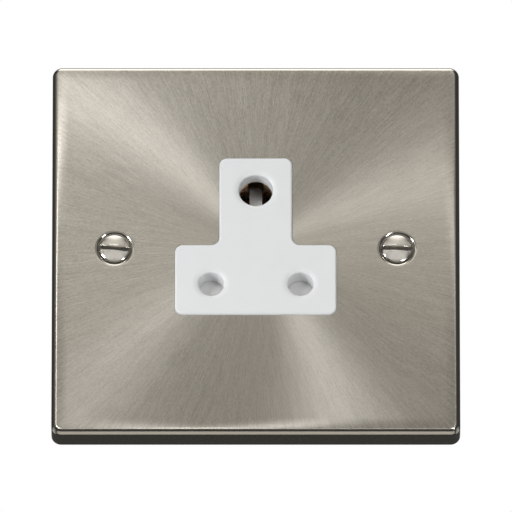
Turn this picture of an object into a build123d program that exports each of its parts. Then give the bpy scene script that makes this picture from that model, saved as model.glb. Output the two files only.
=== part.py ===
from build123d import *
from math import cos, pi, sin
import os

# Round-pin wall socket. Millimetres, X to the right, Y into the wall, Z up.
# The origin is the centre of the plate's rear rim, so the wall is the plane Y = 0.

# Front plate
plate_size = 87.0
plate_depth = 6.2
plate_gauge = 1.2
plate_corner = 2.4
edge_roll = 1.35
fixing_spacing = 60.3

# White T-shaped boss in the plate
tee_width = 34.5
tee_stem = 15.6
tee_top = 21.4
tee_shoulder = 0.8
tee_bottom = -15.75
tee_corner = 1.7
tee_proud = 0.4
tee_edge = 0.3
tee_gap = 0.06
tee_wall = 2.0

# Pins of the plug, and the holes that guide them
pin_spacing = 19.05
earth_rise = 22.23
power_height = -8.5
power_pin = 5.08
earth_pin = 7.06
power_hole = 5.5
earth_hole = 7.3
hole_lead = 0.9
lead_depth = 0.3
power_guide = 4.5
earth_guide = 3.7
guide_wall = 1.3

# Front moulding behind the plate
flange_width = 46.0
flange_height = 61.0
flange_thickness = 2.2
flange_corner = 3.0
skirt_width = 31.4
skirt_top = 28.7
skirt_bottom = -23.4
skirt_wall = 1.9
skirt_corner = 2.5
rail_width = 1.4

# Safety shutter and its spring
shutter_thickness = 1.8
shutter_cover = 0.55
blade_gap = 0.975
shutter_travel = 9.0
shutter_web = 9.2
shutter_slot = 5.8
slide_gap = 0.2
side_gap = 0.3
stop_gap = 0.1
ramp_width = 2.72
ramp_start = 3.2
ramp_top = 5.2
ramp_run = 6.0
ramp_back = 1.0
spring_seat = -4.0
spring_diameter = 5.0
spring_wire = 0.4
spring_turns = 6
spring_sides = 12
spring_nose = 1.6

# Contacts
sheet_brass = 0.8
contact_play = 0.01
power_contact_length = 9.8
earth_contact_length = 17.3
contact_start = 0.3
contact_slot = 0.9
earth_slot = 3.4
slot_end = 2.2
flare = 0.4
clip_width = 1.2
clip_gauge = 0.5
clip_play = 0.03
clip_leg = 1.5
clip_from_mouth = 2.0

# Terminals
block_width = 8.0
block_height = 7.6
block_depth = 7.4
block_edge = 0.4
conductor_bore = 3.8
bore_cover = 1.1
earth_block_gap = 0.9
terminal_thread = 3.4
thread_play = 0.05
terminal_head = 5.2
terminal_head_height = 1.8
head_lift = 0.4
screw_slot = 0.9
screw_slot_depth = 1.0
tip_clear = 0.2

# Earth strap
strap_gauge = 0.6
strap_width = 5.0
strap_bend = 0.7
strap_end = 3.2
strap_reach = 3.0
strap_corner = 2.0

# Rear housing
housing_back = 20.0
housing_wall = 1.6
housing_edge = 1.0
lid_thickness = 3.3
pocket_gap = 0.3
earth_pocket = 10.6
seat_gap = 0.2
driver_hole = 6.4
entry_hole = 5.4
core_floor = 2.0

# Fasteners
fixing_thread = 3.5
fixing_neck = 3.0
fixing_neck_length = 5.15
fixing_length = 25.0
fixing_head = 7.0
fixing_dome = 0.62
fixing_slot = 1.0
fixing_slot_depth = 1.3
fixing_turns = (-5.0, -2.5)
dish_width = 7.7
dish_hole = 4.4
dish_wall = 0.9
seat_play = 0.03
stud_diameter = 3.0
stud_length = 6.0
stud_play = 0.2
nut_gap = 0.5
stud_low = -20.0
nut_flats = 5.5
nut_height = 2.4
nut_play = 0.05
tapping_thread = 2.6
tapping_length = 7.0
tapping_head = 4.8
tapping_head_height = 1.6
boss_width = 5.2
boss_x = 10.9
boss_high = 14.5
boss_low = -26.4
ear_radius = 3.2

# Depths along Y, from the room to the wall
face = -plate_depth
sheet_back = face + plate_gauge
tee_face = face - tee_proud
tee_floor = tee_face + tee_wall
flange_back = sheet_back + flange_thickness
power_guide_back = tee_face + power_guide
earth_guide_back = tee_face + earth_guide
shutter_front = power_guide_back + slide_gap
shutter_back = shutter_front + shutter_thickness
parting = shutter_back + slide_gap
power_contact_front = parting + contact_start
power_contact_back = power_contact_front + power_contact_length
earth_contact_front = earth_guide_back + slide_gap
earth_contact_back = earth_contact_front + earth_contact_length
power_block_back = power_contact_back + block_depth
earth_block_front = earth_contact_back - sheet_brass - block_depth
lid_back = parting + lid_thickness
ramp_toe = earth_guide_back + side_gap
ramp_heel = ramp_toe + ramp_run + ramp_back

# Places across the face
power_x = pin_spacing / 2
earth_height = power_height + earth_rise
skirt_centre = (skirt_top + skirt_bottom) / 2
skirt_height = skirt_top - skirt_bottom
chamber_floor = skirt_bottom + skirt_wall
blade_half = power_hole / 2 + shutter_cover
blade_top = power_height + blade_half
blade_bottom = power_height - blade_half
blade_reach = power_x + blade_half
chamber_half = blade_reach + blade_gap
web_top = earth_height - earth_pin / 2 - sheet_brass - side_gap - contact_play
ramp_low = web_top - ramp_heel + shutter_back
spring_axis = (shutter_front + shutter_back) / 2
spring_pocket = spring_diameter / 2 + side_gap
earth_block_height = earth_height + earth_pin / 2 + sheet_brass + earth_block_gap + block_height / 2
power_bore_depth = power_contact_back + bore_cover + conductor_bore / 2
earth_bore_depth = earth_block_front + bore_cover + conductor_bore / 2
pocket_half = block_width / 2 + pocket_gap
bar_top = power_height + pocket_half + housing_wall
bar_bottom = power_height - pocket_half - housing_wall
well_top = earth_block_height + block_height / 2 + pocket_gap
stem_top = well_top + housing_wall
fixing_rim = face + (dish_width - fixing_head) / 2 - seat_play
fixing_places = [(-fixing_spacing / 2, 0), (fixing_spacing / 2, 0)]
stud_x = skirt_width / 2 + nut_gap + nut_flats / 3**0.5
strap_stud = (stud_x, earth_block_height)
stud_places = [(-stud_x, stud_low), strap_stud]
boss_places = [(-boss_x, boss_high), (boss_x, boss_high), (0, boss_low)]


def slab(outline, front, back):
    """An outline drawn in X and Z, carried from one depth to another."""
    return extrude(Plane.XZ.offset(-back) * outline, back - front)


def disc(diameter, place, front, back):
    """A round bar along Y."""
    return slab(Pos(*place) * Circle(diameter / 2), front, back)


def turned(profile, place):
    """A body turned about a line along Y, from points of radius and depth."""
    half = make_face(Polyline(*profile, close=True))
    return Pos(place[0], 0, place[1]) * revolve(half, Axis.Y)


def upright(diameter, x, depth, low, high):
    """A round bar along Z."""
    return Pos(x, depth, (low + high) / 2) * Cylinder(diameter / 2, high - low)


def front_edges(body):
    """The edges nearest the room."""
    return body.edges().group_by(Axis.Y)[0]


def back_edges(body):
    """The edges deepest in the wall."""
    return body.edges().group_by(Axis.Y)[-1]


def tee(grow):
    """The T outline, larger or smaller all round."""
    stem = Rectangle(tee_stem + 2 * grow, tee_top - tee_bottom + 2 * grow)
    bar = Rectangle(tee_width + 2 * grow, tee_shoulder - tee_bottom + 2 * grow)
    outline = Pos(0, (tee_top + tee_bottom) / 2) * stem
    outline += Pos(0, (tee_shoulder + tee_bottom) / 2) * bar
    return fillet(outline.vertices(), tee_corner)


def skirt_outline():
    """The outline where the two mouldings meet."""
    return Pos(0, skirt_centre) * RectangleRounded(skirt_width, skirt_height, skirt_corner)


def chamber_outline():
    """The room inside the skirt for the shutter's blades."""
    return Pos(0, skirt_centre) * Rectangle(2 * chamber_half, skirt_height - 2 * skirt_wall)


def front_plate():
    """A pressed tray with a rolled edge, the T cut-out and two dished screw seats."""
    plate = slab(RectangleRounded(plate_size, plate_size, plate_corner), face, 0)
    plate = fillet(front_edges(plate), edge_roll)
    inside = plate_size - 2 * plate_gauge
    plate -= slab(RectangleRounded(inside, inside, plate_corner - plate_gauge), sheet_back, 0)
    plate -= slab(tee(tee_gap), face, sheet_back)
    rim_radius = dish_width / 2
    hole_radius = dish_hole / 2
    cone_end = face + rim_radius - hole_radius
    for place in fixing_places:
        back = cone_end + dish_wall
        plate += disc(dish_width, place, sheet_back, back)
        dish = [(0, face), (rim_radius, face), (hole_radius, cone_end), (hole_radius, back), (0, back)]
        plate -= turned(dish, place)
    return plate


def plate_studs():
    """Plain studs welded to the back of the plate."""
    return [disc(stud_diameter, place, sheet_back, sheet_back + stud_length) for place in stud_places]


def stud_nuts():
    """Hexagon nuts on the studs, one of them over the end of the strap."""
    nuts = []
    for place in stud_places:
        seat = flange_back + (strap_gauge if place == strap_stud else 0)
        hexagon = Pos(*place) * RegularPolygon(nut_flats / 2, 6, major_radius=False)
        hexagon -= Pos(*place) * Circle(stud_diameter / 2 + nut_play)
        nuts.append(slab(hexagon, seat, seat + nut_height))
    return nuts


def pin_guide(diameter, place, back):
    """The tube round a pin hole, behind the T face."""
    return disc(diameter + 2 * guide_wall, place, tee_floor, back)


def pin_lead(diameter, place):
    """The shallow lead round the mouth of a pin hole."""
    radius = diameter / 2
    floor = tee_face + lead_depth
    return turned([(0, tee_face), (radius + hole_lead, tee_face), (radius, floor), (0, floor)], place)


def front_moulding():
    """The T boss with its pin holes, the flange behind the plate and the shutter's chamber."""
    boss = slab(tee(0), tee_face, sheet_back)
    boss = chamfer(front_edges(boss), tee_edge)
    flange = RectangleRounded(flange_width, flange_height, flange_corner)
    body = boss + slab(flange, sheet_back, flange_back)
    body += slab(skirt_outline() - chamber_outline(), flange_back, parting)
    body -= slab(tee(-tee_wall), tee_floor, flange_back)
    power_places = [(-power_x, power_height), (power_x, power_height)]
    holes = [(power_hole, place, power_guide_back) for place in power_places]
    holes.append((earth_hole, (0, earth_height), earth_guide_back))
    for diameter, place, back in holes:
        body += pin_guide(diameter, place, back)
    rail_x = chamber_half - rail_width / 2
    ceiling = blade_top + stop_gap
    web_half = shutter_web / 2 + side_gap
    for side in (-1, 1):
        rail = Pos(side * rail_x, (chamber_floor + ceiling) / 2)
        body += slab(rail * Rectangle(rail_width, ceiling - chamber_floor), flange_back, power_guide_back)
        ledge_width = chamber_half - web_half
        ledge = Pos(side * (web_half + ledge_width / 2), ceiling + rail_width / 2)
        body += slab(ledge * Rectangle(ledge_width, rail_width), flange_back, parting)
        cheek = Pos(side * (web_half + rail_width / 2), (ceiling + web_top) / 2)
        body += slab(cheek * Rectangle(rail_width, web_top - ceiling), flange_back, parting)
    for place in boss_places:
        body += slab(Pos(*place) * Rectangle(boss_width, boss_width), flange_back, parting)
    for diameter, place, back in holes:
        body -= disc(diameter, place, tee_face, back)
        body -= pin_lead(diameter, place)
    groove_top = spring_seat + side_gap
    groove = Pos(0, (chamber_floor + groove_top) / 2)
    groove = groove * Rectangle(2 * spring_pocket, groove_top - chamber_floor)
    body -= slab(groove, spring_axis - spring_pocket, flange_back)
    for place in boss_places:
        pilot = parting - tapping_length + lid_thickness - seat_gap
        body -= disc(tapping_thread + 2 * thread_play, place, pilot, parting)
    for place in stud_places:
        body -= disc(stud_diameter + 2 * stud_play, place, sheet_back, flange_back)
    notch_near = chamber_half - pocket_gap
    notch_far = skirt_width / 2 + pocket_gap
    notch = Pos((notch_near + notch_far) / 2, earth_block_height)
    notch = notch * Rectangle(notch_far - notch_near, strap_width + 2 * pocket_gap)
    return body - slab(notch, flange_back, flange_back + strap_gauge + seat_gap)


def safety_shutter():
    """Two blades, the web that joins them and the ramp that the earth pin pushes down."""
    blades = Pos(0, power_height) * Rectangle(2 * blade_reach, 2 * blade_half)
    web = Pos(0, (web_top + blade_bottom) / 2) * Rectangle(shutter_web, web_top - blade_bottom)
    outline = blades + web
    slot = Pos(0, (spring_seat + blade_bottom) / 2)
    outline -= slot * Rectangle(shutter_slot, spring_seat - blade_bottom)
    nose = Rectangle(spring_diameter - 4 * spring_wire, spring_nose)
    outline += Pos(0, spring_seat - spring_nose / 2) * nose
    body = slab(outline, shutter_front, shutter_back)
    low = earth_height - ramp_start
    high = earth_height + ramp_top
    points = [(ramp_toe, low - ramp_back), (ramp_toe, low), (ramp_heel - ramp_back, high)]
    points += [(ramp_heel, high), (ramp_heel, web_top), (shutter_back, ramp_low), (shutter_front, ramp_low)]
    points.append((shutter_front, low - 2 * ramp_back))
    fin = make_face(Plane.YZ * Polyline(*points, close=True))
    return body + extrude(fin, ramp_width / 2, both=True)


def shutter_spring():
    """A coil of square wire between the floor of the chamber and the seat in the shutter."""
    radius = (spring_diameter - spring_wire) / 2
    low = chamber_floor + (spring_wire + stop_gap) / 2
    rise = (spring_seat - chamber_floor - spring_wire - stop_gap) / (spring_turns * spring_sides)
    points = []
    for step in range(spring_turns * spring_sides + 1):
        turn = 2 * pi * step / spring_sides
        points.append((radius * cos(turn), spring_axis + radius * sin(turn), low + rise * step))
    path = Polyline(*points)
    start = Plane(path @ 0, z_dir=path % 0)
    return sweep(start * Rectangle(spring_wire, spring_wire), path, transition=Transition.RIGHT)


def sleeve(pin, place, front, back, slot_width):
    """A sprung sleeve for a pin: a slotted tube with a flared mouth."""
    inner = pin + 2 * contact_play
    tube = disc(inner + 2 * sheet_brass, place, front, back) - disc(inner, place, front, back)
    mouth = front_edges(tube).sort_by(SortBy.RADIUS)[0]
    tube = chamfer(mouth, flare)
    slot_back = back - sheet_brass - slot_end
    cut = Pos(*place) * Rectangle(slot_width, inner + 4 * sheet_brass)
    return tube - slab(cut, front, slot_back)


def power_contact(place):
    """A cup whose floor is brazed to the terminal behind it."""
    cup = sleeve(power_pin, place, power_contact_front, power_contact_back, contact_slot)
    return cup + disc(power_pin + sheet_brass, place, power_contact_back - sheet_brass, power_contact_back)


def earth_contact():
    """A sleeve open above and below for the ramp, with a tab up to its terminal."""
    place = (0, earth_height)
    inner = earth_pin + 2 * contact_play
    top = earth_block_height + block_height / 2
    tab = Pos(0, (earth_height + top) / 2) * Rectangle(block_width, top - earth_height)
    tab = fillet(tab.vertices().sort_by(Axis.Y)[-2:], tee_corner)
    tab -= Pos(*place) * Circle(inner / 2)
    tab -= Pos(0, earth_block_height) * Circle(terminal_thread / 2 + 2 * thread_play)
    body = sleeve(earth_pin, place, earth_contact_front, earth_contact_back, earth_slot)
    return body + slab(tab, earth_contact_back - sheet_brass, earth_contact_back)


def contact_spring(pin, place, front):
    """A flat steel clip bent over a sleeve, which closes it on its pin."""
    inner = pin / 2 + contact_play + sheet_brass + clip_play
    outer = inner + clip_gauge
    bow = Pos(0, (outer - clip_leg) / 2) * Rectangle(2 * outer, outer + clip_leg)
    bow -= Pos(0, (inner - clip_leg) / 2) * Rectangle(2 * inner, inner + clip_leg)
    return slab(Pos(*place) * bow, front, front + clip_width)


def terminal_block(place, front, bore_depth):
    """A brass block with a conductor bore along Z and a screw hole from the back."""
    block = slab(Pos(*place) * Rectangle(block_width, block_height), front, front + block_depth)
    block = chamfer(block.edges(), block_edge)
    low = place[1] - block_height / 2
    block -= upright(conductor_bore, place[0], bore_depth, low, low + block_height)
    return block - disc(terminal_thread + 2 * thread_play, place, bore_depth, front + block_depth)


def terminal_screws():
    """Slotted clamping screws, backed off clear of the conductor bores."""
    places = [((-power_x, power_height), power_bore_depth, power_block_back)]
    places.append(((power_x, power_height), power_bore_depth, power_block_back))
    places.append(((0, earth_block_height), earth_bore_depth, earth_contact_back))
    screws = []
    for place, bore_depth, seat in places:
        head = seat + head_lift
        back = head + terminal_head_height
        screw = disc(terminal_thread, place, bore_depth + conductor_bore / 2 + tip_clear, head)
        screw += disc(terminal_head, place, head, back)
        slot = Pos(*place) * Rectangle(2 * terminal_head, screw_slot)
        screws.append(screw - slab(slot, back - screw_slot_depth, back))
    return screws


def earth_strap():
    """A bent strip from a stud of the plate, welded to the side of the earth terminal."""
    near = block_width / 2
    far = stud_x + strap_end
    lying = flange_back + strap_gauge
    deep = earth_bore_depth + strap_reach
    points = [(far, flange_back), (near, flange_back), (near, deep)]
    points += [(near + strap_gauge, deep), (near + strap_gauge, lying), (far, lying)]
    strip = make_face(Polyline(*points, close=True))
    corners = strip.vertices().sort_by_distance((near, flange_back))
    strip = fillet(corners[0], strap_bend + strap_gauge)
    corners = strip.vertices().sort_by_distance((near + strap_gauge, lying))
    strip = fillet(corners[0], strap_bend)
    low = earth_block_height - strap_width / 2
    strap = extrude(Plane.XY.offset(low) * strip, strap_width)
    ends = strap.edges().filter_by(Axis.Y).sort_by(Axis.X)[-2:]
    strap = fillet(ends, strap_corner)
    return strap - disc(stud_diameter + 2 * stud_play, strap_stud, flange_back, lying)


def housing_body():
    """The T body behind the lid, with the outline that its pockets need."""
    bar_half = power_x + pocket_half + housing_wall
    stem_half = earth_pocket / 2 + housing_wall
    outline = Pos(0, power_height) * Rectangle(2 * bar_half, bar_top - bar_bottom)
    outline += Pos(0, (stem_top + bar_bottom) / 2) * Rectangle(2 * stem_half, stem_top - bar_bottom)
    outline = fillet(outline.vertices(), housing_wall)
    return chamfer(back_edges(slab(outline, parting, housing_back)), housing_edge)


def rear_housing():
    """The back moulding: a lid on the shutter's chamber and a pocket for each contact."""
    body = housing_body()
    ear = Pos(0, boss_low) * Circle(ear_radius)
    ear += Pos(0, (boss_low + skirt_bottom) / 2) * Rectangle(2 * ear_radius, skirt_bottom - boss_low)
    body += slab(skirt_outline() + ear, parting, lid_back)
    for x in (-power_x, power_x):
        place = (x, power_height)
        pocket = Pos(*place) * Rectangle(2 * pocket_half, 2 * pocket_half)
        body -= slab(pocket, parting, power_block_back + seat_gap)
        body -= disc(driver_hole, place, power_block_back, housing_back)
        body -= upright(entry_hole, x, power_bore_depth, bar_bottom - housing_wall, power_height)
    well = Pos(0, earth_height) * Circle(earth_pocket / 2)
    well += Pos(0, (earth_height + well_top) / 2) * Rectangle(earth_pocket, well_top - earth_height)
    body -= slab(well, parting, earth_contact_back + seat_gap)
    body -= disc(driver_hole, (0, earth_block_height), earth_contact_back, housing_back)
    body -= upright(entry_hole, 0, earth_bore_depth, earth_block_height, stem_top + housing_wall)
    groove_low = ramp_low - shutter_travel - side_gap
    groove = Rectangle(ramp_width + 2 * side_gap, earth_height - groove_low)
    body -= slab(Pos(0, (earth_height + groove_low) / 2) * groove, parting, ramp_heel + side_gap)
    spring_top = spring_seat + side_gap
    groove = Rectangle(2 * spring_pocket, spring_top - chamber_floor)
    body -= slab(Pos(0, (spring_top + chamber_floor) / 2) * groove, parting, spring_axis + spring_pocket)
    core_low = bar_bottom + housing_wall
    core_high = earth_height - earth_pocket / 2 - housing_wall
    core = Rectangle(2 * (power_x - pocket_half - housing_wall), core_high - core_low)
    body -= slab(Pos(0, (core_low + core_high) / 2) * core, ramp_heel + core_floor, housing_back)
    body -= disc(earth_pin, (0, earth_height), earth_contact_back + core_floor, housing_back)
    for place in boss_places:
        body -= disc(tapping_thread + 2 * stud_play, place, parting, lid_back)
    return body


def fixing_screws():
    """Slotted raised countersunk screws, each slot at its own turn."""
    radius = fixing_head / 2
    shank = fixing_thread / 2
    end = fixing_rim + fixing_length
    crown = fixing_rim - fixing_dome
    neck = fixing_neck / 2
    plain = fixing_rim + fixing_neck_length
    profile = [(0, fixing_rim), (radius, fixing_rim), (neck, fixing_rim + radius - neck)]
    profile += [(neck, plain), (shank, plain), (shank, end), (0, end)]
    dome = (radius**2 + fixing_dome**2) / (2 * fixing_dome)
    screws = []
    for place, turn in zip(fixing_places, fixing_turns):
        ball = Pos(place[0], crown + dome, place[1]) * Sphere(dome)
        cap = disc(fixing_head, place, crown, fixing_rim) & ball
        slot = Pos(*place) * Rot(0, 0, turn) * Rectangle(2 * fixing_head, fixing_slot)
        screws.append(turned(profile, place) + cap - slab(slot, crown, crown + fixing_slot_depth))
    return screws


def housing_screws():
    """Pan head screws that close the two mouldings."""
    screws = []
    for place in boss_places:
        screw = disc(tapping_thread, place, lid_back - tapping_length, lid_back)
        screws.append(screw + disc(tapping_head, place, lid_back, lid_back + tapping_head_height))
    return screws


power_left = (-power_x, power_height)
power_right = (power_x, power_height)
clip_front = power_contact_front + clip_from_mouth
pieces = {
    "front_plate": front_plate(),
    "plate_studs": Compound(plate_studs()),
    "stud_nuts": Compound(stud_nuts()),
    "front_moulding": front_moulding(),
    "rear_housing": rear_housing(),
    "safety_shutter": safety_shutter(),
    "shutter_spring": shutter_spring(),
    "live_contact": power_contact(power_right),
    "neutral_contact": power_contact(power_left),
    "earth_contact": earth_contact(),
    "live_contact_spring": contact_spring(power_pin, power_right, clip_front),
    "neutral_contact_spring": contact_spring(power_pin, power_left, clip_front),
    "earth_contact_spring": contact_spring(earth_pin, (0, earth_height), ramp_heel + clip_from_mouth),
    "live_terminal": terminal_block(power_right, power_contact_back, power_bore_depth),
    "neutral_terminal": terminal_block(power_left, power_contact_back, power_bore_depth),
    "earth_terminal": terminal_block((0, earth_block_height), earth_block_front, earth_bore_depth),
    "terminal_screws": Compound(terminal_screws()),
    "earth_strap": earth_strap(),
    "fixing_screws": Compound(fixing_screws()),
    "housing_screws": Compound(housing_screws()),
}
os.makedirs("parts", exist_ok=True)
for name, shape in pieces.items():
    export_step(shape, f"parts/{name}.step")
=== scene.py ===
import math

import bmesh
import bpy
from mathutils import Matrix, Vector


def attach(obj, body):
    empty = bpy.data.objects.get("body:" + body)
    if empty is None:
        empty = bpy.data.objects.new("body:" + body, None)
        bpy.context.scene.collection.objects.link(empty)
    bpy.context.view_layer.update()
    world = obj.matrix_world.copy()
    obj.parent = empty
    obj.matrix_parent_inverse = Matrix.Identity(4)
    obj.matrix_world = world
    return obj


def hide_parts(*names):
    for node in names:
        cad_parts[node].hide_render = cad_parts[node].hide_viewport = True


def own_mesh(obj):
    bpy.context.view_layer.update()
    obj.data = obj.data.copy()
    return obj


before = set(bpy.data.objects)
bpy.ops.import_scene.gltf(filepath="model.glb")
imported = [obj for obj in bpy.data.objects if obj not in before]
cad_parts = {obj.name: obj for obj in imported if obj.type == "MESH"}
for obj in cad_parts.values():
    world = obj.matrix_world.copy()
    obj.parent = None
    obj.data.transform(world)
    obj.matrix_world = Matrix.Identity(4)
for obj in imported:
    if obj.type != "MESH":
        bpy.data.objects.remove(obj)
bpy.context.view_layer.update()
mm = 0.001
weld = {"thread": 1e-7, "piece": 5e-7, "point": 1e-6, "node": 2e-6}  # metres between points made one
shading = {"sharp": 32.0, "weight": 100, "flat": 0.5}
scene = bpy.context.scene
print("frame loaded with", len(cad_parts), "nodes")


# small helpers for node trees

def put(tree, kind, inputs=None, **settings):
    made = tree.nodes.new("ShaderNode" + kind)
    for key, value in settings.items():
        setattr(made, key, value)
    for key, value in (inputs or {}).items():
        if isinstance(value, bpy.types.NodeSocket):
            tree.links.new(value, made.inputs[key])
        else:
            made.inputs[key].default_value = value
    return made


def vectors(tree, operation, inputs):
    return put(tree, "VectorMath", inputs, operation=operation).outputs


def sums(tree, operation, inputs):
    return put(tree, "Math", inputs, operation=operation).outputs[0]


def ramp(tree, factor, stops):
    made = put(tree, "ValToRGB", {"Fac": factor})
    for element, (place, colour) in zip(made.color_ramp.elements, stops):
        element.position = place
        element.color = (*colour, 1)
    return made.outputs["Color"]


def spread(tree, value, low, high, fromLow, fromHigh, curve="LINEAR"):
    made = put(tree, "MapRange", {"Value": value, "From Min": fromLow, "From Max": fromHigh,
                                  "To Min": low, "To Max": high}, interpolation_type=curve)
    return made.outputs["Result"]


def grain(tree, where, scale, detail=3.0, rough=0.5):
    made = put(tree, "TexNoise", {"Vector": where, "Scale": scale, "Detail": detail, "Roughness": rough})
    return made.outputs[0]


def startFinish(name):
    material = bpy.data.materials.new(name)
    material.use_nodes = True
    tree = material.node_tree
    shader = tree.nodes["Principled BSDF"]
    where = put(tree, "TexCoord").outputs["Object"]
    return material, tree, shader, where


def feed(tree, shader, name, value):
    tree.links.new(value, shader.inputs[name])


def bumpInto(tree, shader, height, strength, distance):
    bump = put(tree, "Bump", {"Height": height, "Strength": strength, "Distance": distance})
    feed(tree, shader, "Normal", bump.outputs["Normal"])


# satin face of the plate: fine lines brushed outwards from the centre, with broad rays over them that are
# partly painted sheen

satin = {"light": (0.835, 0.79, 0.71), "dark": (0.515, 0.48, 0.415), "linesAround": 150.0,
         "linesAlong": 1500.0, "streak": 0.14, "rayToneAndSheen": 0.16, "lineRough": 0.6, "streakShare": 0.8,
         "rayToneAndSheenShare": 0.3, "shadeFrom": 0.68, "shadeTo": 1.42, "roughLow": 0.30, "roughHigh": 0.42,
         "roughFrom": 0.3, "roughTo": 0.7, "bump": 0.10, "bumpDepth": 0.00002, "stretch": 0.86}


def makeSatin():
    material, tree, shader, where = startFinish("satinFace")
    flat = vectors(tree, "MULTIPLY", {0: where, 1: (1, 0, 1)})[0]
    reach = vectors(tree, "LENGTH", {0: flat})["Value"]
    outward = vectors(tree, "NORMALIZE", {0: flat})[0]
    around = vectors(tree, "CROSS_PRODUCT", {0: outward, 1: (0, 1, 0)})[0]
    feed(tree, shader, "Tangent", around)
    spun = vectors(tree, "SCALE", {0: outward, "Scale": satin["linesAround"]})[0]
    along = sums(tree, "MULTIPLY", {0: reach, 1: satin["linesAlong"]})
    lift = put(tree, "CombineXYZ", {"Y": along}).outputs[0]
    lines = vectors(tree, "ADD", {0: spun, 1: lift})[0]
    drawn = vectors(tree, "MULTIPLY", {0: lines, 1: (1, satin["streak"], 1)})[0]
    fine = grain(tree, lines, 1.0, 3.0, satin["lineRough"])
    streak = grain(tree, drawn, 1.0, 2.0, satin["lineRough"])
    # broad rays around the centre: partly the brushing's own tone, partly painted sheen standing in for the
    # fans of highlight
    rayToneAndSheen = grain(tree, drawn, satin["rayToneAndSheen"], 2.0)
    both = sums(tree, "MULTIPLY_ADD", {0: streak, 1: satin["streakShare"], 2: fine})
    both = sums(tree, "MULTIPLY_ADD", {0: rayToneAndSheen, 1: satin["rayToneAndSheenShare"], 2: both})
    shade = spread(tree, both, 0.0, 1.0, satin["shadeFrom"], satin["shadeTo"])
    polish = spread(tree, fine, satin["roughHigh"], satin["roughLow"], satin["roughFrom"], satin["roughTo"])
    feed(tree, shader, "Base Color", ramp(tree, shade, [(0.0, satin["dark"]), (1.0, satin["light"])]))
    feed(tree, shader, "Roughness", polish)
    bumpInto(tree, shader, fine, satin["bump"], satin["bumpDepth"])
    shader.inputs["Metallic"].default_value = 1.0
    shader.inputs["Anisotropic"].default_value = satin["stretch"]
    return material


# plain metals differ in colour, polish and in how far they have dulled

metal = {"detail": 5.0, "cloudRough": 0.6, "speckRatio": 9.0, "dullAt": 0.3, "brightAt": 0.62,
         "roughFrom": 0.3, "roughTo": 0.7, "bumpDepth": 0.00003}


def makeMetal(name, bright, dull, roughLow, roughHigh, size, scratch):
    material, tree, shader, where = startFinish(name)
    cloud = grain(tree, where, size, metal["detail"], metal["cloudRough"])
    speck = grain(tree, where, size * metal["speckRatio"], 2.0)
    shade = ramp(tree, cloud, [(metal["dullAt"], dull), (metal["brightAt"], bright)])
    polish = spread(tree, cloud, roughHigh, roughLow, metal["roughFrom"], metal["roughTo"])
    feed(tree, shader, "Base Color", shade)
    feed(tree, shader, "Roughness", polish)
    bumpInto(tree, shader, speck, scratch, metal["bumpDepth"])
    shader.inputs["Metallic"].default_value = 1.0
    return material


# moulded plastics: a slight cloud in the colour and a fine skin

plastic = {"cloudSize": 160.0, "cloudDetail": 4.0, "deepAt": 0.3, "paleAt": 0.7, "poreFrom": 0.35,
           "poreTo": 0.65, "bumpDepth": 0.00003}


def makePlastic(name, pale, deep, roughLow, roughHigh, skin, skinSize):
    material, tree, shader, where = startFinish(name)
    cloud = grain(tree, where, plastic["cloudSize"], plastic["cloudDetail"])
    pores = grain(tree, where, skinSize, 2.0)
    shade = ramp(tree, cloud, [(plastic["deepAt"], deep), (plastic["paleAt"], pale)])
    polish = spread(tree, pores, roughLow, roughHigh, plastic["poreFrom"], plastic["poreTo"])
    feed(tree, shader, "Base Color", shade)
    feed(tree, shader, "Roughness", polish)
    bumpInto(tree, shader, pores, skin, plastic["bumpDepth"])
    return material


metals = {  # name, bright and dull colour, lower and upper roughness, cloud size, scratch depth
    "rolled": ("rolledEdge", (0.69, 0.655, 0.59), (0.665, 0.63, 0.565), 0.11, 0.16, 260.0, 0.02),
    "back": ("plateBack", (0.48, 0.46, 0.42), (0.43, 0.41, 0.375), 0.40, 0.50, 180.0, 0.12),
    "nickel": ("brightNickel", (0.90, 0.87, 0.81), (0.82, 0.79, 0.73), 0.09, 0.17, 420.0, 0.04),
    "zinc": ("zincPlate", (0.66, 0.68, 0.70), (0.52, 0.55, 0.57), 0.22, 0.38, 520.0, 0.08),
    "brass": ("pressedBrass", (0.80, 0.60, 0.28), (0.62, 0.43, 0.18), 0.20, 0.40, 300.0, 0.08),
    # contacts: bronze darker than the terminal brass, its own tone with painted shade of the deep pin holes
    # in it
    "bronzeAndHoleShade": ("contactBronzeAndHoleShade", (0.46, 0.29, 0.18), (0.27, 0.16, 0.09), 0.18, 0.34, 300.0, 0.06),
    "spring": ("springSteel", (0.46, 0.46, 0.47), (0.30, 0.30, 0.32), 0.24, 0.42, 600.0, 0.06),
    "stud": ("copperedStud", (0.74, 0.46, 0.33), (0.55, 0.32, 0.22), 0.25, 0.42, 480.0, 0.08),
}
plastics = {  # name, pale and deep colour, lower and upper roughness, skin depth and size
    "white": ("whiteMoulding", (0.875, 0.885, 0.885), (0.855, 0.865, 0.87), 0.30, 0.38, 0.05, 2600.0),
    "shutter": ("shutterPlastic", (0.88, 0.88, 0.865), (0.85, 0.85, 0.835), 0.36, 0.48, 0.06, 2200.0),
    "housing": ("housingPlastic", (0.74, 0.74, 0.72), (0.68, 0.68, 0.655), 0.42, 0.58, 0.14, 1500.0),
}
finish = {"satin": makeSatin()}
finish.update((look, makeMetal(*values)) for look, values in metals.items())
finish.update((look, makePlastic(*values)) for look, values in plastics.items())
print("finishes made:", len(finish))


# small helpers for meshes

def outlineFace(bm, points, depth):
    return bm.faces.new([bm.verts.new((x * mm, depth * mm, z * mm)) for x, z in points])


def largestFace(bm):
    return max(bm.faces, key=lambda face: face.calc_area())


def everything(bm):
    return bm.verts[:] + bm.edges[:] + bm.faces[:]


def vertsIn(geom):
    return [item for item in geom if isinstance(item, bmesh.types.BMVert)]


def edgesIn(geom):
    return [item for item in geom if isinstance(item, bmesh.types.BMEdge)]


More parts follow.
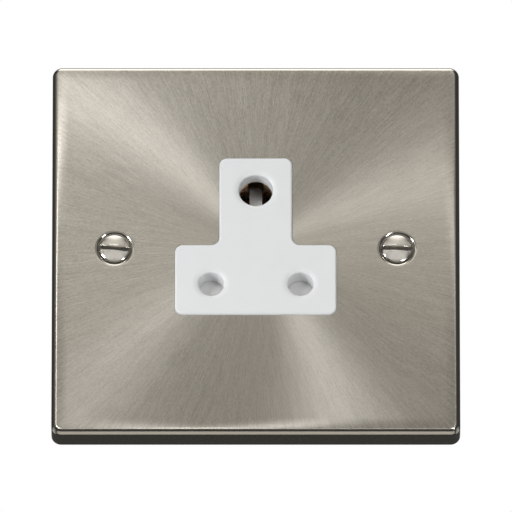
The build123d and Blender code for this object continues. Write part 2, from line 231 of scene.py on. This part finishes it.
def facesIn(geom):
    return [item for item in geom if isinstance(item, bmesh.types.BMFace)]


def openEdges(bm, depth):
    return [e for e in bm.edges if e.is_boundary and
            all(abs(v.co.y - depth * mm) < weld["point"] for v in e.verts)]


def mergePoints(bm, within=weld["point"]):
    bmesh.ops.remove_doubles(bm, verts=bm.verts, dist=within)


def roundCorners(bm, corners, radius, segments=8):
    bmesh.ops.bevel(bm, geom=corners, offset=radius * mm, offset_type="OFFSET", segments=segments,
                    profile=0.5, affect="VERTICES", material=-1, clamp_overlap=False)


def roundEdges(bm, edges, width, segments=3):
    bmesh.ops.bevel(bm, geom=edges, offset=width * mm, offset_type="OFFSET", segments=segments,
                    profile=0.5, affect="EDGES", material=-1, clamp_overlap=False)


def chain(bm, points, place):
    verts = [bm.verts.new(((place[0] + u) * mm, y * mm, place[1] * mm)) for u, y in points]
    return verts, [bm.edges.new(pair) for pair in zip(verts, verts[1:])]


def turn(bm, points, place, steps):
    verts, edges = chain(bm, points, place)
    bmesh.ops.spin(bm, geom=verts + edges, cent=(place[0] * mm, 0, place[1] * mm), axis=(0, 1, 0),
                   angle=math.tau, steps=steps, use_merge=True)


def turned(points, place, steps):
    bm = bmesh.new()
    turn(bm, points, place, steps)
    mergePoints(bm)
    return bm


def ring(bm, place, radius, depth, slack=0.02):
    found = []
    for edge in bm.edges:
        if all(abs(v.co.y - depth * mm) < slack * mm and
               abs(math.hypot(v.co.x - place[0] * mm, v.co.z - place[1] * mm) - radius * mm) < slack * mm
               for v in edge.verts):
            found.append(edge)
    return found


def join(bm, other):
    spare = bpy.data.meshes.new("spare")
    other.to_mesh(spare)
    other.free()
    bm.from_mesh(spare)
    bpy.data.meshes.remove(spare)


def carve(bm, cutter, operation="DIFFERENCE"):
    pair = []
    for part in (bm, cutter):
        bmesh.ops.recalc_face_normals(part, faces=part.faces)
        mesh = bpy.data.meshes.new("carving")
        part.to_mesh(mesh)
        pair.append(bpy.data.objects.new("carving", mesh))
        scene.collection.objects.link(pair[-1])
    cutter.free()
    work = pair[0].modifiers.new("carve", "BOOLEAN")
    work.operation = operation
    work.solver = "EXACT"
    work.object = pair[1]
    result = bpy.data.meshes.new_from_object(pair[0].evaluated_get(bpy.context.evaluated_depsgraph_get()))
    bm.clear()
    bm.from_mesh(result)
    for item in pair:
        spare = item.data
        bpy.data.objects.remove(item)
        bpy.data.meshes.remove(spare)
    bpy.data.meshes.remove(result)


def block(width, depth, height, place, turnBy):
    bm = bmesh.new()
    where = Matrix.Translation((place[0] * mm, place[1] * mm, place[2] * mm))
    where = where @ Matrix.Rotation(math.radians(turnBy), 4, "Y")
    where = where @ Matrix.Diagonal((width * mm, depth * mm, height * mm, 1))
    bmesh.ops.create_cube(bm, size=1.0, matrix=where)
    return bm


def finishPiece(name, bm, looks, nodes=(), body="socket_body", weighted=True):
    mergePoints(bm, weld["piece"])
    bmesh.ops.recalc_face_normals(bm, faces=bm.faces)
    for face in bm.faces:
        face.smooth = True
    mesh = bpy.data.meshes.new(name)
    bm.to_mesh(mesh)
    bm.free()
    mesh.set_sharp_from_angle(angle=math.radians(shading["sharp"]))
    for look in looks:
        mesh.materials.append(finish[look])
    piece = bpy.data.objects.new(name, mesh)
    scene.collection.objects.link(piece)
    if weighted:
        even = piece.modifiers.new("evenShading", "WEIGHTED_NORMAL")
        even.keep_sharp = True
        even.weight = shading["weight"]
    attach(piece, body)
    if nodes:
        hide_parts(*nodes)
    print("made", name, len(mesh.polygons), "faces")
    return piece


def copyOfNode(node):
    bm = bmesh.new()
    bm.from_mesh(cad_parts[node].data)
    mergePoints(bm, weld["node"])
    bmesh.ops.dissolve_limit(bm, angle_limit=math.radians(shading["flat"]), use_dissolve_boundaries=False,
                             verts=bm.verts, edges=bm.edges)
    return bm


# thread of all screws and studs: shares of its pitch, then spare laps that are cut off

thread = {"valley": 0.22, "rise": 0.55, "top": 0.67, "spare": 2, "steps": 28, "under": 0.05, "gap": 0.02}


def threadOn(bm, place, sizes, low, high):
    core, crest, pitch, steps = sizes["core"], sizes["crest"], sizes["pitch"], thread["steps"]
    own = bmesh.new()
    points = []
    for lap in range(int((high - low) / pitch) + 2 * thread["spare"]):
        start = low - thread["spare"] * pitch + lap * pitch
        points += [(core, start), (core, start + thread["valley"] * pitch),
                   (crest, start + thread["rise"] * pitch), (crest, start + thread["top"] * pitch)]
    verts, edges = chain(own, points, place)
    bmesh.ops.spin(own, geom=verts + edges, cent=(place[0] * mm, 0, place[1] * mm), axis=(0, 1, 0),
                   dvec=(0, pitch * mm / steps, 0), angle=math.tau, steps=steps)
    mergePoints(own, weld["thread"])
    for depth, inward in ((low, -1), (high, 1)):
        bmesh.ops.bisect_plane(own, geom=everything(own), plane_co=(0, depth * mm, 0),
                               plane_no=(0, inward, 0), clear_outer=True)
        bmesh.ops.edgeloop_fill(own, edges=openEdges(own, depth))
    bmesh.ops.recalc_face_normals(own, faces=own.faces)
    join(bm, own)


# the T opening in the plate: the outline of the white boss and a small gap around it

tee = {"stem": 15.6, "width": 34.5, "top": 21.4, "shoulder": 0.8, "bottom": -15.75, "corner": 1.7,
       "gap": 0.06}


def teeFace(bm, depth):
    gap = tee["gap"]
    stem, wide = tee["stem"] / 2 + gap, tee["width"] / 2 + gap
    top, shoulder, bottom = tee["top"] + gap, tee["shoulder"] + gap, tee["bottom"] - gap
    points = [(-stem, top), (stem, top), (stem, shoulder), (wide, shoulder), (wide, bottom),
              (-wide, bottom), (-wide, shoulder), (-stem, shoulder)]
    face = outlineFace(bm, points, depth)
    inner = [face.verts[2], face.verts[7]]
    outer = [v for v in face.verts if v not in inner]
    roundCorners(bm, inner, tee["corner"])
    roundCorners(bm, [v for v in outer if v.is_valid], tee["corner"])
    return largestFace(bm)


# front plate: a pressed tray with a rolled edge, the T opening and two dished seats

plate = {"side": 87.0, "face": -6.2, "back": -5.0, "gauge": 1.2, "corner": 2.1, "cornerSteps": 12,
         "roll": 1.3, "rollSegments": 12, "rim": 0.18, "rimSegments": 3, "inner": 0.25, "innerSegments": 4,
         "ease": 0.115, "easeRun": 2.2, "easeSteps": (0.5, 1.05, 1.6, 2.2), "easeCorner": 0.9,
         "screwX": 30.15, "dishRim": 3.85, "dishHole": 2.2, "dishEnd": -3.65, "dishLip": 0.36,
         "lipSegments": 5, "dishRound": 0.3, "dishSteps": 72, "frontMargin": 0.8, "backMargin": 0.4,
         "seatReach": 0.5, "flatWithin": 0.001, "brushedTo": 0.22, "backWithin": 0.3, "wallWithin": 0.6}


def plateEdge(bm, steps, eased):
    corner, roll, front = plate["corner"], plate["roll"], plate["face"]
    centre = plate["side"] / 2 - corner
    inside = corner - plate["gauge"]
    rollTop = front + plate["ease"] + 2 * roll * plate["ease"] / plate["easeRun"]
    points = [(corner - roll - steps[0], eased[0]), (corner, rollTop), (corner, 0), (inside, 0),
              (inside, plate["back"]), (inside - 2 * plate["inner"], plate["back"])]
    verts = chain(bm, points, (centre, centre))[0]
    for vert, key in zip(verts[1:], ("roll", "rim", "rim", "inner")):
        roundCorners(bm, [vert], plate[key], plate[key + "Segments"])
    first = bm.edges[:]
    last = bmesh.ops.spin(bm, geom=bm.verts[:] + bm.edges[:], cent=(centre * mm, 0, centre * mm),
                          axis=(0, 1, 0), angle=-math.pi / 2, steps=plate["cornerSteps"])["geom_last"]
    for edges, way in ((first, (0, 0, -1)), (edgesIn(last), (-1, 0, 0))):
        grown = bmesh.ops.extrude_edge_only(bm, edges=edges)["geom"]
        bmesh.ops.translate(bm, verts=vertsIn(grown), vec=Vector(way) * centre * mm)
    for axis in ("X", "Z"):
        bmesh.ops.mirror(bm, geom=everything(bm), matrix=Matrix.Identity(4), merge_dist=weld["point"],
                         axis=axis)


def plateLook(face):
    front, back, half = plate["face"], plate["back"], plate["side"] / 2
    middle = face.calc_center_median()
    reach = math.hypot(abs(middle.x) - plate["screwX"] * mm, middle.z)
    sunk = middle.y > (front + plate["flatWithin"]) * mm
    seat = sunk and reach < (plate["dishRim"] + plate["seatReach"]) * mm
    if middle.y < (front + plate["brushedTo"]) * mm and not seat:
        return 0
    within = max(abs(middle.x), abs(middle.z)) < (half - plate["wallWithin"]) * mm
    return 2 if middle.y > (back - plate["backWithin"]) * mm and within else 1


def makePlate():
    bm = bmesh.new()
    front, back, steps = plate["face"], plate["back"], plate["easeSteps"]
    ease, run = plate["ease"], plate["easeRun"]
    eased = [front + ease * (1 - gap / run) ** 2 for gap in steps]  # the face falls gently to the roll
    plateEdge(bm, steps, eased)
    outer = [e for e in bm.edges if e.is_boundary and all(v.co.y < (front + ease) * mm for v in e.verts)]
    for gap, depth in list(zip(steps, eased))[1:]:
        half = plate["side"] / 2 - plate["roll"] - gap
        square = outlineFace(bm, [(-half, -half), (half, -half), (half, half), (-half, half)], depth)
        roundCorners(bm, square.verts[:], plate["easeCorner"], plate["cornerSteps"])
        square = largestFace(bm)
        inner = square.edges[:]
        bmesh.ops.delete(bm, geom=[square], context="FACES_ONLY")
        bmesh.ops.bridge_loops(bm, edges=outer + inner)
        outer = inner
    opening = teeFace(bm, front)
    grown = bmesh.ops.extrude_face_region(bm, geom=[opening])["geom"]
    lid = facesIn(grown)
    bmesh.ops.translate(bm, verts=vertsIn(grown), vec=(0, (back - front) * mm, 0))
    bmesh.ops.delete(bm, geom=lid + ([opening] if opening.is_valid else []), context="FACES_ONLY")
    lip, hole, end, soft = plate["dishRim"], plate["dishHole"], plate["dishEnd"], plate["dishRound"]
    for x in (-plate["screwX"], plate["screwX"]):
        turn(bm, [(lip + plate["frontMargin"], front), (lip, front), (hole, front + lip - hole),
                  (hole, end), (lip - soft, end), (lip, end - soft), (lip, back),
                  (lip + plate["backMargin"], back)], (x, 0.0), plate["dishSteps"])
        roundEdges(bm, ring(bm, (x, 0.0), lip, front), plate["dishLip"], plate["lipSegments"])
    mergePoints(bm)
    for depth, way in ((front, -1), (back, 1)):
        bmesh.ops.triangle_fill(bm, use_beauty=True, use_dissolve=False, edges=openEdges(bm, depth),
                                normal=(0, way, 0))
    bmesh.ops.recalc_face_normals(bm, faces=bm.faces)
    for face in bm.faces:
        face.material_index = plateLook(face)
    finishPiece("facePlate", bm, ["satin", "rolled", "back"], ["front_plate"])


# white front moulding: the CAD shape with its T edge and pin holes softened

boss = {"face": -6.6, "edge": 0.3, "edgeRound": 0.13, "lead": 0.9, "leadDepth": 0.3, "mouthRound": 0.42,
        "boreRound": 0.2, "holeSegments": 4, "sharp": 20, "slack": 0.02,
        "holes": [((-9.525, -8.5), 2.75), ((9.525, -8.5), 2.75), ((0.0, 13.73), 3.65)]}


def makeBoss():
    bm = copyOfNode("front_moulding")
    mouths, bores = [], []
    for place, radius in boss["holes"]:
        mouths += ring(bm, place, radius + boss["lead"], boss["face"])
        bores += ring(bm, place, radius, boss["face"] + boss["leadDepth"])
    behind = (boss["face"] + boss["edge"] + boss["slack"]) * mm
    soft = [e for e in bm.edges if e not in mouths + bores and
            e.calc_face_angle(0) > math.radians(boss["sharp"]) and all(v.co.y < behind for v in e.verts)]
    soft = [e for e in soft if abs(e.verts[1].co.y - e.verts[0].co.y) < weld["point"]]
    roundEdges(bm, soft, boss["edgeRound"])
    for edges, width in ((bores, boss["boreRound"]), (mouths, boss["mouthRound"])):
        roundEdges(bm, [e for e in edges if e.is_valid], width, boss["holeSegments"])
    finishPiece("frontMoulding", bm, ["white"], ["front_moulding"])


# rear housing and shutter keep the CAD shape, with moulded edges

moulded = {"housingEdge": 0.16, "shutterEdge": 0.10, "segments": 2, "sharp": 35}


def makeMoulded(name, node, width, look, body):
    bm = copyOfNode(node)
    edges = [e for e in bm.edges if e.calc_face_angle(0) > math.radians(moulded["sharp"]) and e.is_convex]
    roundEdges(bm, edges, width, moulded["segments"])
    finishPiece(name, bm, [look], [node], body)


# raised countersunk fixing screws

fixing = {"x": 30.15, "rim": -6.08, "rimSlack": 0.03, "rimRound": 0.12, "radius": 3.2, "shoulder": -5.57,
          "crown": -6.57, "sphere": 10.69, "domeSteps": 10, "steps": 64, "neck": 1.5, "neckEnd": -0.73,
          "core": 1.36, "crest": 1.75, "pitch": 0.6, "end": 19.12, "point": 1.0, "tip": 0.6,
          "threadStop": 0.9, "slot": 1.0, "slotDepth": 1.3, "cutLength": 2.4, "cutter": 4.0,
          "turns": (5.0, 2.5), "sharp": 40, "floorSlack": 0.05, "soft": 0.07, "softSegments": 2}


def makeFixingScrews():
    bm = bmesh.new()
    radius, neck, shoulder, end = fixing["radius"], fixing["neck"], fixing["shoulder"], fixing["end"]
    half = math.asin(radius / fixing["sphere"])
    centre = fixing["crown"] + fixing["sphere"]
    floor = fixing["crown"] + fixing["slotDepth"]
    shank = fixing["core"] - thread["under"]
    for x, turnBy in zip((-fixing["x"], fixing["x"]), fixing["turns"]):
        own = bmesh.new()
        crown = own.verts.new((x * mm, fixing["crown"] * mm, 0))
        bmesh.ops.spin(own, geom=[crown], cent=(x * mm, centre * mm, 0), axis=(0, 0, 1), angle=half,
                       steps=fixing["domeSteps"])
        own.verts.ensure_lookup_table()
        tip = own.verts[-1]
        for u, y in ((radius, shoulder), (neck, shoulder + radius - neck), (shank, end - fixing["point"]),
                     (fixing["tip"], end), (0.0, end)):
            after = own.verts.new(((x + u) * mm, y * mm, 0))
            own.edges.new((tip, after))
            tip = after
        bmesh.ops.spin(own, geom=own.verts[:] + own.edges[:], cent=(x * mm, 0, 0), axis=(0, 1, 0),
                       angle=math.tau, steps=fixing["steps"], use_merge=True)
        mergePoints(own)
        roundEdges(own, ring(own, (x, 0.0), radius, fixing["rim"], fixing["rimSlack"]), fixing["rimRound"])
        carve(own, block(fixing["cutLength"] * radius, fixing["cutter"], fixing["slot"],
                         (x, floor - fixing["cutter"] / 2, 0.0), turnBy))
        walls = [e for e in own.edges if e.is_convex and
                 e.calc_face_angle(0) > math.radians(fixing["sharp"]) and
                 all(v.co.y < (floor - fixing["floorSlack"]) * mm for v in e.verts)]
        roundEdges(own, walls, fixing["soft"], fixing["softSegments"])
        threadOn(own, (x, 0.0), fixing, fixing["neckEnd"], end - fixing["threadStop"])
        join(bm, own)
    return finishPiece("fixingScrews", bm, ["nickel"], ["fixing_screws"])


# pan head screws that close the mouldings, with a cross recess

closing = {"places": [(-10.9, 14.5), (10.9, 14.5), (0.0, -26.4)], "seat": 3.4, "radius": 2.4, "height": 1.6,
           "dome": 0.85, "domeSegments": 6, "core": 0.95, "crest": 1.3, "pitch": 0.9, "tip": -3.6,
           "point": 0.8, "tipRadius": 0.25, "threadStart": 0.7, "arm": 0.62, "reach": 2.7, "recess": 1.05,
           "cutter": 2.0, "firstTurn": 20, "nextTurn": 35, "steps": 48}


def makeClosingScrews():
    bm = bmesh.new()
    seat, back = closing["seat"], closing["seat"] + closing["height"]
    radius, shank, tip = closing["radius"], closing["core"] - thread["under"], closing["tip"]
    for number, place in enumerate(closing["places"]):
        own = turned([(0, back), (radius, back), (radius, seat), (shank, seat),
                      (shank, tip + closing["point"]), (closing["tipRadius"], tip), (0, tip)],
                     place, closing["steps"])
        roundEdges(own, ring(own, place, radius, back), closing["dome"], closing["domeSegments"])
        middle = (place[0], back - closing["recess"] + closing["cutter"] / 2, place[1])
        for turnBy in (0, 90):
            carve(own, block(closing["reach"], closing["cutter"], closing["arm"], middle,
                             turnBy + closing["firstTurn"] + closing["nextTurn"] * number))
        threadOn(own, place, closing, tip + closing["threadStart"], seat - thread["gap"])
        join(bm, own)
    finishPiece("housingScrews", bm, ["zinc"], ["housing_screws"])


# slotted clamping screws of the terminals: place, tip, seat and turn of the slot

clamping = {"places": [((-9.525, -8.5), 15.3, 18.0, 25), ((9.525, -8.5), 15.3, 18.0, -40),
                       ((0.0, 22.76), 11.5, 15.0, 70)],
            "radius": 2.6, "height": 1.8, "edge": 0.25, "core": 1.38, "crest": 1.7, "pitch": 0.6,
            "point": 0.3, "tipInset": 0.35, "threadStart": 0.25, "slot": 0.9, "slotDepth": 1.0,
            "cutLength": 3, "cutter": 2.0, "steps": 48}


def makeClampingScrews():
    bm = bmesh.new()
    radius, shank = clamping["radius"], clamping["core"] - thread["under"]
    for place, tip, seat, turnBy in clamping["places"]:
        back = seat + clamping["height"]
        own = turned([(0, back), (radius, back), (radius, seat), (shank, seat),
                      (shank, tip + clamping["point"]), (clamping["core"] - clamping["tipInset"], tip),
                      (0, tip)], place, clamping["steps"])
        roundEdges(own, ring(own, place, radius, back), clamping["edge"])
        middle = (place[0], back - clamping["slotDepth"] + clamping["cutter"] / 2, place[1])
        carve(own, block(clamping["cutLength"] * radius, clamping["cutter"], clamping["slot"], middle,
                         turnBy))
        threadOn(own, place, clamping, tip + clamping["threadStart"], seat - thread["gap"])
        join(bm, own)
    finishPiece("terminalScrews", bm, ["nickel"], ["terminal_screws"])


# welded studs of the plate and their nuts

stud = {"places": [(-19.375, -20.0), (19.375, 22.76)], "core": 1.24, "crest": 1.5, "pitch": 0.5,
        "root": -5.0, "foot": 0.6, "footEnd": 0.85, "tip": 1.0, "point": 0.25, "tipInset": 0.35,
        "threadStart": 0.5, "threadStop": 0.2, "steps": 40}


def makeStuds():
    bm = bmesh.new()
    root, tip, crest, shank = stud["root"], stud["tip"], stud["crest"], stud["core"] - thread["under"]
    for place in stud["places"]:
        turn(bm, [(0, root), (crest, root), (crest, root + stud["foot"]), (shank, root + stud["footEnd"]),
                  (shank, tip - stud["point"]), (stud["core"] - stud["tipInset"], tip), (0, tip)],
             place, stud["steps"])
        threadOn(bm, place, stud, root + stud["threadStart"], tip - stud["threadStop"])
    finishPiece("plateStuds", bm, ["stud"], ["plate_studs"])


nut = {"seats": (-2.8, -2.2), "flats": 5.5, "height": 2.4, "chamfer": 0.3, "chamferGap": 0.02, "over": 0.01,
       "play": 0.02, "mouth": 0.5, "mouthOver": 0.2, "mouthDepth": 0.3, "domeSteps": 60, "holeSteps": 40}


def makeNuts():
    bm = bmesh.new()
    half, cut, over, deep = nut["flats"] / 2, nut["chamfer"], nut["over"], nut["mouthDepth"]
    bore = stud["crest"] + nut["play"]
    mouth = bore + nut["mouth"]
    for place, seat in zip(stud["places"], nut["seats"]):
        own = bmesh.new()
        back = seat + nut["height"]
        where = Matrix.Translation((place[0] * mm, seat * mm, place[1] * mm))
        where = where @ Matrix.Rotation(math.pi / 2, 4, "X") @ Matrix.Rotation(math.pi / 6, 4, "Z")
        bmesh.ops.create_circle(own, cap_ends=True, segments=6, radius=nut["flats"] / math.sqrt(3) * mm,
                                matrix=where)
        grown = bmesh.ops.extrude_face_region(own, geom=own.faces[:])["geom"]
        bmesh.ops.translate(own, verts=vertsIn(grown), vec=(0, nut["height"] * mm, 0))
        small, large = half - nut["chamferGap"], half + 2 * cut
        carve(own, turned([(0, seat - over), (small, seat - over), (large, seat + cut), (large, back - cut),
                           (small, back + over), (0, back + over)], place, nut["domeSteps"]), "INTERSECT")
        carve(own, turned([(0, seat - deep), (mouth, seat - nut["mouthOver"]), (bore, seat + deep),
                           (bore, back - deep), (mouth, back + nut["mouthOver"]), (0, back + deep)],
                          place, nut["holeSteps"]))
        join(bm, own)
    finishPiece("studNuts", bm, ["zinc"], ["stud_nuts"])


# return spring of the shutter, with closed end coils

coil = {"axisY": -1.0, "low": -21.5, "high": -4.0, "shortest": 8.5, "radius": 2.3, "wire": 0.4, "gap": 0.02,
        "endTurns": 1.0, "endPitch": 1.05, "turns": 6.0, "sides": 10, "stepsPerTurn": 30}


def makeSpring():
    bm = bmesh.new()
    wire, length = coil["wire"] / 2, coil["high"] - coil["low"]
    start = coil["low"] + wire + coil["gap"]
    where = Matrix.Translation((coil["radius"] * mm, coil["axisY"] * mm, start * mm))
    where = where @ Matrix.Rotation(math.pi / 2, 4, "X")
    bmesh.ops.create_circle(bm, cap_ends=True, segments=coil["sides"], radius=wire * mm, matrix=where)
    profile = bm.verts[:] + bm.edges[:]
    endRise = coil["endTurns"] * coil["wire"] * coil["endPitch"]
    climb = length - 2 * wire - 2 * coil["gap"] - 2 * endRise
    for laps, rise in ((coil["endTurns"], endRise), (coil["turns"], climb), (coil["endTurns"], endRise)):
        steps = int(laps * coil["stepsPerTurn"])
        profile = bmesh.ops.spin(bm, geom=profile, cent=(0, coil["axisY"] * mm, 0), axis=(0, 0, 1),
                                 dvec=(0, 0, rise * mm / steps), angle=laps * math.tau,
                                 steps=steps)["geom_last"]
    bmesh.ops.edgeloop_fill(bm, edges=edgesIn(profile))
    piece = finishPiece("shutterSpring", bm, ["spring"], ["shutter_spring"], weighted=False)
    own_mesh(piece)


# moulded terminal letters on the lid, read from behind

letters = {"marks": [("L", 9.525, -19.0), ("N", -9.525, -19.0), ("E", -11.4, 22.4)], "size": 4.2,
           "face": 3.4, "raise": 0.22, "curveSteps": 4}


def makeLetters():
    bm = bmesh.new()
    for word, x, z in letters["marks"]:
        text = bpy.data.curves.new("mark", "FONT")
        text.body = word
        text.size = letters["size"] * mm
        text.extrude = letters["raise"] * mm
        text.align_x = "CENTER"
        text.align_y = "CENTER"
        text.resolution_u = letters["curveSteps"]
        holder = bpy.data.objects.new("mark", text)
        scene.collection.objects.link(holder)
        mesh = bpy.data.meshes.new_from_object(holder.evaluated_get(bpy.context.evaluated_depsgraph_get()))
        bpy.data.objects.remove(holder)
        bpy.data.curves.remove(text)
        mesh.transform(Matrix(((-1, 0, 0, x * mm), (0, 0, 1, letters["face"] * mm), (0, 1, 0, z * mm),
                               (0, 0, 0, 1))))
        bm.from_mesh(mesh)
        bpy.data.meshes.remove(mesh)
    finishPiece("terminalLetters", bm, ["housing"])


makePlate()
makeBoss()
makeMoulded("rearHousing", "rear_housing", moulded["housingEdge"], "housing", "socket_body")
makeMoulded("safetyShutter", "safety_shutter", moulded["shutterEdge"], "shutter", "shutter")
screws = makeFixingScrews()
makeClosingScrews()
makeClampingScrews()
makeStuds()
makeNuts()
makeSpring()
makeLetters()

kept = {"bronzeAndHoleShade": ("earth_contact", "live_contact", "neutral_contact"),
        "brass": ("earth_terminal", "live_terminal", "neutral_terminal", "earth_strap"),
        "spring": ("earth_contact_spring", "live_contact_spring", "neutral_contact_spring")}
for look, nodes in kept.items():
    for node in nodes:
        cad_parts[node].material_slots[0].material = finish[look]
print("nodes kept with new finishes:", sum(len(nodes) for nodes in kept.values()))


# camera well back, a little below and looking up

lens = {"length": 1600.0, "sensor": 36.0, "across": 109.38, "elevation": -25.85, "right": 0.043, "up": 1.09,
        "near": 0.1, "far": 100.0}


def makeCamera():
    data = bpy.data.cameras.new("camera")
    data.lens = lens["length"]
    data.sensor_width = lens["sensor"]
    data.clip_start = lens["near"]
    data.clip_end = lens["far"]
    away = lens["across"] * lens["length"] / lens["sensor"]
    tilt = math.radians(lens["elevation"])
    back = Vector((0, -math.cos(tilt), math.sin(tilt)))
    up = Vector((0, math.sin(tilt), math.cos(tilt)))
    camera = bpy.data.objects.new("camera", data)
    scene.collection.objects.link(camera)
    camera.rotation_mode = "QUATERNION"
    camera.rotation_quaternion = (-back).to_track_quat("-Z", "Y")
    camera.location = (back * away + Vector((lens["right"], 0, 0)) + up * lens["up"]) * mm
    scene.camera = camera


# studio: soft boxes far off, small strips close to the plate, and a pale floor below

studio = {"warm": (1.0, 0.955, 0.88), "plain": (1.0, 0.99, 0.97), "cool": (0.985, 1.0, 1.02), "dim": 0.05,
          "floorZ": -2.4, "floorY": (-1.5, 1.2), "floorX": 2.2, "floorDeep": (0.80, 0.775, 0.725),
          "floorPale": (0.86, 0.835, 0.785), "floorCloud": 3.0, "floorRough": 0.8}
softBoxes = {  # azimuth, elevation, cosines of the bright middle and of the rim, strength, tint
    "front": (0, 2, 0.97, 0.89, 0.31, "warm"),
    "left": (-33, 26, 0.99, 0.93, 0.30, "warm"),
    "right": (33, 26, 0.99, 0.93, 0.26, "warm"),
    "farLeft": (-48, 26, 0.97, 0.86, 0.10, "warm"),
    "high": (0, 45, 0.99, 0.93, 0.44, "warm"),
    "highLeft": (-20, 45, 0.99, 0.93, 0.13, "warm"),
    "highRight": (20, 45, 0.99, 0.93, 0.12, "warm"),
    "crest": (0, 63, 0.99, 0.95, 0.50, "plain"),
    "overhead": (0, 84, 0.99, 0.85, 1.60, "plain"),
    "sideLeft": (-95, -14, 0.98, 0.88, 0.30, "plain"),
    "sideRight": (95, -14, 0.98, 0.88, 0.30, "plain"),
    "behindLeft": (-130, -12, 0.98, 0.94, 0.60, "plain"),
    "behindRight": (130, -12, 0.98, 0.94, 0.60, "plain"),
    "behind": (180, 8, 0.99, 0.93, 0.70, "plain"),
}
strips = {  # place, size and power of the lights that the metal mirrors
    "leftStrip": ((-0.208, -0.30, 0.020), (0.07, 0.05), 0.285),
    "rightStrip": ((0.125, -0.30, -0.060), (0.05, 0.05), 0.069),
    "lowStrip": ((0.195, -0.30, -0.120), (0.10, 0.05), 0.160),
    "topStrip": ((-0.040, -0.32, 0.190), (0.12, 0.05), 0.016),
    "topLeftStrip": ((-0.200, -0.32, 0.190), (0.12, 0.05), 0.012),
}
fills = {  # the same for lights that only lift the plastic and leave no glint
    "backLeft": ((-0.50, 0.60, 0.95), (0.40, 0.40), 3.6),
    "backRight": ((0.55, 0.60, 0.90), (0.40, 0.40), 2.8),
    "backFillLeft": ((-0.60, 0.85, -0.10), (0.30, 0.30), 1.8),
    "backFillRight": ((0.65, 0.80, -0.10), (0.30, 0.30), 1.4),
    "fillLeft": ((-0.50, -0.29, -0.17), (0.20, 0.20), 1.78),
    "fillRight": ((0.50, -0.265, -0.205), (0.20, 0.20), 0.42),
}
floorWash = ((0, -0.1, -1.3), (2.0, 2.0), 5.6, (0, -0.1, studio["floorZ"]))
headLight = ((0, -0.59, 0.115), (0.56, 0.30), 0.13)


def makeLight(name, at, size, power, target=(0, 0, 0), mirrored=True, only=None):
    data = bpy.data.lights.new(name, "AREA")
    data.shape = "RECTANGLE"
    data.size, data.size_y = size
    data.energy = power
    data.color = studio["cool"]
    light = bpy.data.objects.new(name, data)
    scene.collection.objects.link(light)
    light.location = at
    light.rotation_mode = "QUATERNION"
    light.rotation_quaternion = (Vector(target) - Vector(at)).to_track_quat("-Z", "Y")
    light.visible_camera = False
    light.visible_glossy = mirrored
    if only:
        light.light_linking.receiver_collection = only


def makeLights():
    for name, values in strips.items():
        makeLight(name, *values)
    for name, values in fills.items():
        makeLight(name, *values, mirrored=False)
    makeLight("floorWash", *floorWash)
    heads = bpy.data.collections.new("heads")  # the fixing screws alone take the head light
    heads.objects.link(screws)
    makeLight("headLight", *headLight, only=heads)


def makeFloor():
    bm = bmesh.new()
    near, far = studio["floorY"]
    bmesh.ops.create_grid(bm, x_segments=1, y_segments=1, size=1.0)
    bmesh.ops.scale(bm, vec=(studio["floorX"], (far - near) / 2, 1), verts=bm.verts)
    bmesh.ops.translate(bm, vec=(0, (far + near) / 2, studio["floorZ"]), verts=bm.verts)
    mesh = bpy.data.meshes.new("floor")
    bm.to_mesh(mesh)
    bm.free()
    material, tree, shader, where = startFinish("paleFloor")
    cloud = grain(tree, where, studio["floorCloud"])
    shade = ramp(tree, cloud, [(plastic["deepAt"], studio["floorDeep"]),
                               (plastic["paleAt"], studio["floorPale"])])
    feed(tree, shader, "Base Color", shade)
    shader.inputs["Roughness"].default_value = studio["floorRough"]
    mesh.materials.append(material)
    floor = bpy.data.objects.new("floor", mesh)
    scene.collection.objects.link(floor)


def makeSurround():
    world = bpy.data.worlds.new("studio")
    scene.world = world
    world.use_nodes = True
    tree = world.node_tree
    tree.nodes.clear()
    way = put(tree, "TexCoord").outputs["Generated"]
    totals = {"warm": 0.0, "plain": studio["dim"]}
    for azimuth, elevation, inner, outer, strength, tint in softBoxes.values():
        turnBy, rise = math.radians(azimuth), math.radians(elevation)
        aim = (math.sin(turnBy) * math.cos(rise), -math.cos(turnBy) * math.cos(rise), math.sin(rise))
        near = vectors(tree, "DOT_PRODUCT", {0: way, 1: aim})["Value"]
        glow = spread(tree, near, 0.0, strength, outer, inner, "SMOOTHSTEP")
        totals[tint] = sums(tree, "ADD", {0: totals[tint], 1: glow})
    glows = [put(tree, "Background", {"Color": (*studio[tint], 1), "Strength": total}).outputs[0]
             for tint, total in totals.items()]
    boxes = put(tree, "AddShader", {0: glows[0], 1: glows[1]})
    white = put(tree, "Background", {"Color": (1, 1, 1, 1), "Strength": 1.0})
    seen = put(tree, "LightPath").outputs["Is Camera Ray"]
    mix = put(tree, "MixShader", {0: seen, 1: boxes.outputs[0], 2: white.outputs[0]})
    put(tree, "OutputWorld", {"Surface": mix.outputs[0]})
    scene.view_settings.view_transform = "Standard"
    scene.view_settings.look = "None"


makeCamera()
makeLights()
makeFloor()
makeSurround()
print("camera and studio set")
